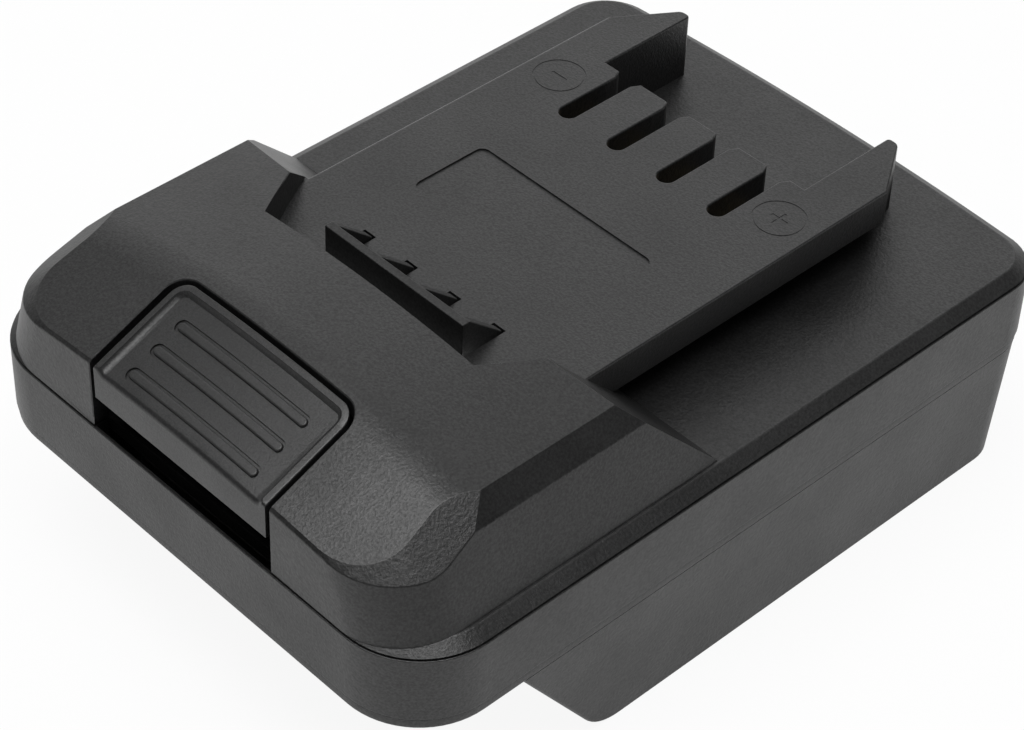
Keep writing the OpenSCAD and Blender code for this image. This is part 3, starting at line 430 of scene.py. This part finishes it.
def notch(grow, z0):
    bm = bar(-18.1 - grow, 18.1 + grow, -26.1 - grow, 0, z0, 52)
    spread = (26.1 + grow) * tan(radians(29.5))
    for side in (-1, 1):
        bmesh.ops.translate(bm, vec=(side * spread, 0, 0),
                            verts=[v for v in bm.verts if v.co.y > -1 and v.co.x * side > 0])
    return bm


def recess(grow):
    bm = bar(-15.9 - grow, 15.9 + grow, -60, -40.1 + grow, 27.0, 60)
    return rounded(bm, uprights(bm, -45, -40), 3.0, 10)


def rim_edges(e):
    steep = min(abs(f.normal.z) for f in e.link_faces) < 0.01
    off_ramp = max(f.normal.y for f in e.link_faces) < 0.6
    middle = (e.verts[0].co + e.verts[1].co) / 2
    inside = abs(middle.x) < 16.0 and middle.y < -40.0 or middle.y > -26.2 and abs(middle.x) < 25
    return 0.12 if steep and off_ramp and inside and turn_of(e) > radians(35) and middle.z > 32 else 0.0


block = softened(front_block(0, True), block_edges, 3)
block = softened(boolean("DIFFERENCE", block, notch(0, 41.27), recess(0)), rim_edges, 1)


SLOTS = (-12.96, -4.32, 4.32, 12.96)


def contact_slot(x):
    bm = bar(x - 1.25, x + 1.25, 17.9, 28.8, 31.9, 43)
    rounded(bm, uprights(bm, 17, 18), 1.249, 8)
    bmesh.ops.remove_doubles(bm, verts=bm.verts, dist=0.01)
    pulled = drawn_out(bm, [f for f in bm.faces if f.calc_center_median().y > 28.7])
    bmesh.ops.translate(bm, vec=(0, 1.4, 0), verts=pulled)
    for side in (-1, 1):
        bmesh.ops.translate(bm, vec=(side * 0.8, 0, 0),
                            verts=[v for v in pulled if (v.co.x - x) * side > 0])
    return bm


def rail_form():
    bm = bmesh.new()
    plan = [(24.35, -27.5), (24.35, 37.35), (18.9, 45.7), (17.3, 45.7), (17.3, 30.1)]
    plan += [(-x, y) for x, y in reversed(plan)]
    face = bm.faces.new([bm.verts.new((x, y, 30.6)) for x, y in plan])
    lifted = bmesh.ops.extrude_face_region(bm, geom=[face])["geom"]
    bmesh.ops.translate(bm, vec=(0, 0, 10.7),
                        verts=[g for g in lifted if isinstance(g, bmesh.types.BMVert)])
    rounded(bm, uprights(bm, 45, 50), 0.55, 5)
    return boolean("DIFFERENCE", bm, bar(19.6, 40, -40, 60, 20, 36.3), bar(-40, -19.6, -40, 60, 20, 36.3),
                   *[contact_slot(x) for x in SLOTS])


def rail_edges(e):
    if turn_of(e) < radians(50) or min(v.co.z for v in e.verts) < 32:
        return 0.0
    return 0.45 if max(v.co.x for v in e.verts) < -24 else 0.25


def lip_edges(e):
    return 0.2 if turn_of(e) > radians(30) and min(v.co.z for v in e.verts) > 31.8 else 0.0


deck = outward(case_plate(0, 28.6, 30.6))
bmesh.ops.inset_region(deck, faces=[f for f in deck.faces if f.normal.z > 0.99], thickness=1.9, depth=1.3,
                       use_even_offset=True)
deck = boolean("DIFFERENCE", softened(outward(deck), lip_edges, 2), recess(0.02))

tooth_slot = boolean("UNION", bar(-12.3, 12.3, -22.4, -19.0, 33, 43),
                     *[bar(x - 0.3, x + 1.7, -22.1, -15.5, 33, 43) for x in (-12, -4.467, 3.067, 10.6)])

label = bar(-14.9, 14.9, -5.6, 6.2, 41.08, 43)
rounded(label, uprights(label, -20, 20), 1.2, 6)


SIGN_Y, SIGN_FLOOR = 23.5, 41.24


def sign(x, bars):
    bm = bmesh.new()
    corners = [bm.verts.new((x + r, SIGN_Y, z))
               for r, z in ((3.15, SIGN_FLOOR), (3.5, SIGN_FLOOR), (3.5, 43), (3.15, 43))]
    sides = [bm.edges.new((corners[i - 1], corners[i])) for i in range(4)]
    bmesh.ops.spin(bm, geom=corners + sides, cent=(x, SIGN_Y, 0), axis=(0, 0, 1), angle=2 * pi, steps=48,
                   use_merge=True)
    return boolean("UNION", outward(bm),
                   *[bar(x - w, x + w, SIGN_Y - d, SIGN_Y + d, SIGN_FLOOR, 43) for w, d in bars])


def post(x, y, radius, z0, z1, segments):
    bm = bmesh.new()
    bmesh.ops.create_cone(bm, cap_ends=True, segments=segments, radius1=radius, radius2=radius,
                          depth=z1 - z0)
    bmesh.ops.translate(bm, vec=(x, y, (z0 + z1) / 2), verts=bm.verts)
    return bm


CASE_SCREWS = ((-29.5, -43.2), (29.5, -43.2), (-27.0, 46.0), (27.0, 46.0))
cover = boolean("UNION", block, deck, softened(rail_form(), rail_edges, 3))
cover = boolean("DIFFERENCE", cover, tooth_slot, label, sign(-19.2, [(1.25, 0.2)]),
                sign(19.2, [(1.25, 0.2), (0.2, 1.25)]),
                boolean("DIFFERENCE", front_block(2.2, False), notch(2.2, 39.1)),
                bar(-17.4, 17.4, -28.3, 15.9, 27.0, 39.1),
                *[bar(x - 1.25, x + 1.25, 18.6, 28.6, 27, 33) for x in SLOTS])
trimmed(cover, (0, 0, 30.72), (0, 0, -1))
cover = boolean("UNION", cover, boolean("DIFFERENCE", case_plate(2.3, 28.9, 30.8), case_plate(3.5, 27, 32)),
                *[post(x, y, 3.6, 24, 40.5 if y < 0 else 31.7, 32) for x, y in CASE_SCREWS],
                *[bar(x - 1.1, x + 1.1, -37.9, -28.2, 38.1, 44.5) for x in (-3.1, 3.1)])
cover = boolean("DIFFERENCE", cover, *[post(x, y, 1.6, 23, 30.1, 24) for x, y in CASE_SCREWS])
bmesh.ops.dissolve_degenerate(cover, dist=0.004, edges=cover.edges)
bmesh.ops.dissolve_limit(cover, angle_limit=radians(0.05), verts=cover.verts, edges=cover.edges)
finish_piece(cover, "upper_cover_moulding", case_black, "case", "case_plastic", "upper_cover")


# Release button: crowned and dished thumb pad in the front slope, with three pill-shaped grip ribs.
# Moulded in the same black plastic with a smoother skin, pressed on two pegs into the latch slide.
def button_edges(e):
    lean = sorted(f.normal.z for f in e.link_faces)
    if min(v.co.z for v in e.verts) < 35.8 or abs(lean[0]) > 0.02 or lean[1] < 0.5:
        return 0.0
    return 0.6 if max(v.co.y for v in e.verts) < -54.05 else 0.22


def pill(length, width, z0, z1, y, top_round):
    bm = bar(-length / 2, length / 2, -width / 2, width / 2, z0, z1)
    rounded(bm, uprights(bm, -9, 9), width / 2 - 0.002, 8)
    bmesh.ops.remove_doubles(bm, verts=bm.verts, dist=0.01)
    if top_round:
        bm.normal_update()
        rounded(bm, [e for e in bm.edges if min(v.co.z for v in e.verts) > z1 - 0.001
                     and min(f.normal.z for f in e.link_faces) < 0.5], top_round, 3)
    bmesh.ops.rotate(bm, cent=(0, 0, 0), matrix=Matrix.Rotation(SLOPE, 3, "X"), verts=bm.verts)
    bmesh.ops.translate(bm, vec=(0, y, 40.07 + (y + 54.3) * tan(SLOPE)), verts=bm.verts)
    return outward(bent(bm))


def bent(bm):
    """The form above the slide follows the crown of the slope."""
    for k in range(-6, 7):
        bmesh.ops.bisect_plane(bm, geom=bm.verts[:] + bm.edges[:] + bm.faces[:], dist=1e-5,
                               plane_co=(2.2 * k, 0, 0), plane_no=(1, 0, 0))
    for v in bm.verts:
        if v.co.z > 37:
            v.co.z -= v.co.x ** 2 / (2 * SLOPE_R * cos(SLOPE))
    return bm


button = bar(-15.2, 15.2, -64, -40.6, 35.5, 60)
rounded(button, uprights(button, -45, -40), 2.3, 10)
trimmed(button, (0, -54.3, 40.7), SLOPE_UP)
pad = [f for f in outward(button).faces if f.normal.dot(SLOPE_UP) > 0.97]
for inset, drop in ((0.9, 0.0), (0.2, -0.3), (0.4, -0.28)):
    bmesh.ops.inset_region(button, faces=pad, thickness=inset, depth=drop, use_even_offset=True)
trimmed(button, (0, -54.1, 0), (0, -1, 0))
button = softened(outward(bent(button)), button_edges, 3)
RIBS = (-44.7, -48.3, -51.9)
button = boolean("DIFFERENCE", button, *[pill(23.0, 1.9, -0.25, 0.4, y, 0) for y in RIBS])
button = boolean("UNION", button, *[pill(22.3, 1.2, -0.6, 0.12, y, 0.25) for y in RIBS])
hollow = trimmed(bar(-13.4, 13.4, -52.3, -42.4, 30, 50), (0, -54.3, 38.0), SLOPE_UP)
button = boolean("DIFFERENCE", button, hollow, bar(-13.41, 13.41, -47.35, -33.85, 30, 38.1))
button = boolean("UNION", button, *[post(x, -47.35, 1.8, 35.5, 41.6, 24) for x in (-7, 7)])
button_black = moulded("button_plastic", (0.007, 0.007, 0.0071), 0.42, 4200.0, 0.00003)
finish_piece(button, "release_button_pad", button_black, "latch", "button_plastic", "release_button")


# Latch slide: flat plate under the cover that carries the latch tooth with four gussets behind it.
# Moulded in the button's plastic; its darker black is painted shade on the tooth and gussets, and its finish
# is rougher; it runs on two guide posts and is lifted by two springs.
def slide_edges(e):
    return 0.18 if turn_of(e) > radians(30) and e.calc_length() > 0.5 else 0.0


# Its base colour is darker than the button's to paint in the shade on the tooth front and the gusset sides.
slide_painted_shade_black = moulded("slide_plastic_painted_shade", (0.004, 0.004, 0.004), 0.6, 3000.0, 0.00003)
finish_piece(softened(cad_copy("latch_slide"), slide_edges, 2), "latch_slide_moulding", slide_painted_shade_black,
             "latch", "button_plastic", "latch_slide")


# Latch springs: two coils of drawn steel wire round the guide posts, from the floor plate to the slide.
# Six turns of 0.8 mm wire each.
def metal(name, colour, roughness, streaks):
    material, tree = blank_material(name)
    place = add(tree, "ShaderNodeTexCoord").outputs["Object"]
    along = add(tree, "ShaderNodeMapping", {"Vector": place, "Scale": streaks})
    drawn = add(tree, "ShaderNodeTexNoise", {"Vector": along.outputs[0], "Scale": 1.0, "Detail": 3.0})
    cloud = add(tree, "ShaderNodeTexNoise", {"Vector": place, "Scale": 260.0, "Detail": 3.0})
    edge_highlight = add(tree, "ShaderNodeAttribute", attribute_name="edge_highlight")
    dull = add(tree, "ShaderNodeMix", {0: cloud.outputs["Fac"], 6: [0.72 * c for c in colour] + [1],
                                       7: [min(1, 1.1 * c) for c in colour] + [1]}, data_type="RGBA")
    # Narrow edge strips are coloured brighter: a painted edge highlight.
    bright = add(tree, "ShaderNodeMix", {0: edge_highlight.outputs["Fac"], 6: dull.outputs[2],
                                         7: [min(1, 1.25 * c) for c in colour] + [1]}, data_type="RGBA")
    sheen = add(tree, "ShaderNodeMapRange", {"Value": drawn.outputs["Fac"], "To Min": roughness - 0.1,
                                             "To Max": roughness + 0.12})
    bump = add(tree, "ShaderNodeBump", {"Height": drawn.outputs["Fac"], "Strength": 0.3, "Distance": 0.00002})
    skin = add(tree, "ShaderNodeBsdfPrincipled", {"Base Color": bright.outputs[2], "Metallic": 1.0,
                                                  "Roughness": sheen.outputs["Result"],
                                                  "Normal": bump.outputs["Normal"]})
    add(tree, "ShaderNodeOutputMaterial", {"Surface": skin.outputs[0]})
    return material


spring_steel = metal("spring_steel", (0.6, 0.6, 0.62), 0.32, (900, 900, 5000))
COIL_RISE = 13.68
for side, name in ((-1, "left"), (1, "right")):
    bm = bmesh.new()
    bmesh.ops.create_circle(bm, cap_ends=False, radius=0.4, segments=12)
    bmesh.ops.rotate(bm, cent=(0, 0, 0), matrix=Matrix.Rotation(pi / 2, 3, "X"), verts=bm.verts)
    bmesh.ops.translate(bm, vec=(9.5 * side + 3.1, -33.2, 21.41), verts=bm.verts)
    bmesh.ops.spin(bm, geom=bm.verts[:] + bm.edges[:], cent=(9.5 * side, -33.2, 0), axis=(0, 0, 1),
                   dvec=(0, 0, COIL_RISE / 168), angle=12 * pi, steps=168, use_merge=False)
    bmesh.ops.holes_fill(bm, edges=[e for e in bm.edges if e.is_boundary], sides=0)
    coil = finish_piece(outward(bm), "latch_spring_%s_coil" % name, spring_steel, "case", "spring_steel",
                        "latch_spring_%s" % name)
    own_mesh(coil)


# Tool terminals: a black block under the contact slots that holds four sprung brass clips.
# The clips are stamped from strip and pushed into the block from above, their leaves in the slots.
def fine_edges(e):
    return 0.12 if turn_of(e) > radians(30) and e.calc_length() > 0.35 else 0.0


def strip_edges(e):
    return 0.05 if turn_of(e) > radians(60) and e.calc_length() > 0.2 else 0.0


terminal_black = moulded("terminal_plastic", (0.02, 0.02, 0.022), 0.5, 2600.0, 0.00004)
finish_piece(softened(cad_copy("tool_terminal_holder"), fine_edges, 2), "tool_terminal_holder_block",
             terminal_black, "case", "terminal_plastic", "tool_terminal_holder")
contact_brass = metal("contact_brass", (0.62, 0.5, 0.29), 0.36, (6000, 700, 6000))
for name in ("negative", "thermal", "data", "positive"):
    finish_piece(softened(cad_copy("contact_" + name), strip_edges, 2), "contact_%s_clip" % name,
                 contact_brass, "case", "contact_brass", "contact_" + name)


# Battery terminals: a black block at the rear of the bay with three flat brass blades through it.
# Two screws hold the block up to the floor plate; the blades' tails pass up into the case.
finish_piece(softened(cad_copy("battery_terminal_block"), fine_edges, 2), "battery_terminal_block_moulding",
             terminal_black, "case", "terminal_plastic", "battery_terminal_block")


def blade_edges(e):
    return 0.2 if turn_of(e) > radians(60) else 0.0


for name in ("negative", "signal", "positive"):
    finish_piece(softened(cad_copy("blade_" + name), blade_edges, 3), "blade_%s_strip" % name,
                 contact_brass, "case", "contact_brass", "blade_" + name)


# Circuit board with its resistor: glass laminate under green solder mask, on two standoffs.
# The resistor is a dipped body with colour bands on a bent tinned wire.
board_mask, tree = blank_material("board_laminate")
place = add(tree, "ShaderNodeTexCoord").outputs["Object"]
tracks = add(tree, "ShaderNodeTexBrick", {"Vector": place, "Color1": (0.012, 0.085, 0.04, 1),
                                          "Color2": (0.014, 0.1, 0.045, 1), "Mortar": (0.03, 0.17, 0.07, 1),
                                          "Scale": 260.0, "Mortar Size": 0.045})
weave = add(tree, "ShaderNodeTexNoise", {"Vector": place, "Scale": 1800.0, "Detail": 2.0})
gloss = add(tree, "ShaderNodeMapRange", {"Value": weave.outputs["Fac"], "To Min": 0.22, "To Max": 0.4})
bump = add(tree, "ShaderNodeBump", {"Height": weave.outputs["Fac"], "Strength": 0.3, "Distance": 0.00002})
mask = add(tree, "ShaderNodeBsdfPrincipled", {"Base Color": tracks.outputs["Color"],
                                              "Roughness": gloss.outputs["Result"],
                                              "Normal": bump.outputs["Normal"]})
add(tree, "ShaderNodeOutputMaterial", {"Surface": mask.outputs[0]})
finish_piece(softened(cad_copy("circuit_board"), strip_edges, 1), "circuit_board_panel", board_mask,
             "case", "board_laminate", "circuit_board")

banded_coat, tree = blank_material("resistor_coat")
place = add(tree, "ShaderNodeTexCoord").outputs["Object"]
across = add(tree, "ShaderNodeSeparateXYZ", {0: place})
share = add(tree, "ShaderNodeMapRange", {"Value": across.outputs["X"], "From Min": -0.003,
                                         "From Max": 0.003})
bands = add(tree, "ShaderNodeValToRGB", {0: share.outputs["Result"]})
bands.color_ramp.interpolation = "CONSTANT"
coat = (0.55, 0.42, 0.24, 1)
for at, colour in ((0.2, (0.09, 0.03, 0.015, 1)), (0.27, coat), (0.36, (0.01, 0.01, 0.01, 1)), (0.43, coat),
                   (0.52, (0.6, 0.2, 0.02, 1)), (0.59, coat), (0.74, (0.5, 0.36, 0.08, 1)), (0.81, coat)):
    bands.color_ramp.elements.new(at).color = colour
for end in (0, -1):
    bands.color_ramp.elements[end].color = coat
film = add(tree, "ShaderNodeTexNoise", {"Vector": place, "Scale": 900.0})
gloss = add(tree, "ShaderNodeMapRange", {"Value": film.outputs["Fac"], "To Min": 0.25, "To Max": 0.42})
dipped = add(tree, "ShaderNodeBsdfPrincipled", {"Base Color": bands.outputs["Color"],
                                                "Roughness": gloss.outputs["Result"]})
add(tree, "ShaderNodeOutputMaterial", {"Surface": dipped.outputs[0]})


def resistor_edges(e):
    return 0.45 if turn_of(e) > radians(60) and max(v.co.x ** 2 for v in e.verts) < 9.1 else 0.0


resistor = finish_piece(softened(cad_copy("id_resistor"), resistor_edges, 4), "id_resistor_body",
                        banded_coat, "case", "resistor_coat", "id_resistor")
resistor.data.materials.append(spring_steel)
for polygon in resistor.data.polygons:
    polygon.material_index = 1 if abs(polygon.center.x) > 0.003001 else 0


# Leads: soft sleeved wire, two heavy ones from the power clips and a thin one from the board.
# Each is soldered at both ends and lies along the inside of the case.
def sleeve(name, colour):
    material, tree = blank_material(name)
    place = add(tree, "ShaderNodeTexCoord").outputs["Object"]
    film = add(tree, "ShaderNodeTexNoise", {"Vector": place, "Scale": 420.0, "Detail": 3.0})
    tone = add(tree, "ShaderNodeMix", {0: film.outputs["Fac"], 6: [0.8 * c for c in colour] + [1],
                                       7: [min(1, 1.15 * c) for c in colour] + [1]}, data_type="RGBA")
    satin = add(tree, "ShaderNodeMapRange", {"Value": film.outputs["Fac"], "To Min": 0.38, "To Max": 0.58})
    bump = add(tree, "ShaderNodeBump", {"Height": film.outputs["Fac"], "Strength": 0.2, "Distance": 0.00003})
    skin = add(tree, "ShaderNodeBsdfPrincipled", {"Base Color": tone.outputs[2],
                                                  "Roughness": satin.outputs["Result"],
                                                  "Normal": bump.outputs["Normal"]})
    add(tree, "ShaderNodeOutputMaterial", {"Surface": skin.outputs[0]})
    return material


def lead(node, route, radius, material, slot):
    curve = bpy.data.curves.new(node, "CURVE")
    curve.dimensions, curve.bevel_depth, curve.bevel_resolution, curve.use_fill_caps = "3D", radius, 3, True
    line = curve.splines.new("BEZIER")
    line.bezier_points.add(len(route) - 1)
    line.resolution_u = 6
    for point, place in zip(line.bezier_points, route):
        point.co, point.handle_left_type, point.handle_right_type = place, "AUTO", "AUTO"
    work = bpy.data.objects.new(node, curve)
    bpy.context.scene.collection.objects.link(work)
    made = bpy.data.meshes.new_from_object(work.evaluated_get(bpy.context.evaluated_depsgraph_get()))
    bm = bmesh.new()
    bm.from_mesh(made)
    bpy.data.objects.remove(work)
    bpy.data.curves.remove(curve)
    bpy.data.meshes.remove(made)
    bmesh.ops.remove_doubles(bm, verts=bm.verts, dist=1e-4)
    finish_piece(outward(bm), node + "_sleeve", material, "case", slot, node)


power_route = ((12.96, 11.85, 24.5), (12.96, 9.9, 24.5), (13, 9.1, 24.2), (16, 7.6, 24.2), (20, 9, 24.2),
               (21.6, 14, 24.2), (21.6, 22, 24.2), (21.6, 31, 24.2), (20.5, 37, 24.2), (16.5, 39.6, 23.6),
               (13.5, 39.8, 23.2), (12.9, 39.8, 23), (10.95, 39.8, 23))
signal_route = ((10, 2.7, 24.65), (10, 2.7, 25.25), (10, 2.8, 26), (11.4, 3.4, 27), (16, 4.4, 27),
                (21, 5.5, 26.6), (24.6, 10, 25.6), (24.8, 18, 25), (24.8, 30, 25), (23, 38, 24.4),
                (17, 43.6, 23.6), (8, 45.6, 23.2), (2, 44.6, 23.2), (0, 42.6, 23.2), (0, 41.2, 23),
                (0, 40.65, 23))
lead("wire_negative", [(-x, y, z) for x, y, z in power_route], 1.0,
     sleeve("black_sleeve", (0.025, 0.025, 0.025)), "black_sleeve")
lead("wire_positive", power_route, 1.0, sleeve("red_sleeve", (0.42, 0.03, 0.022)), "red_sleeve")
lead("wire_signal", signal_route, 0.6, sleeve("yellow_sleeve", (0.68, 0.5, 0.05)), "yellow_sleeve")


# Screws: blackened steel pan heads with a cross recess, driven from below into the case and the block,
# and from above into the board's standoffs.
def head_edges(e):
    return 0.3 if turn_of(e) > radians(80) and e.calc_length() < 0.5 else 0.0


screw_steel = metal("screw_steel", (0.3, 0.31, 0.33), 0.4, (1500, 1500, 1500))
for node in ("case_screws", "block_screws", "board_screws"):
    finish_piece(softened(cad_copy(node), head_edges, 3), node + "_set", screw_steel, "case", "screw_steel",
                 node)
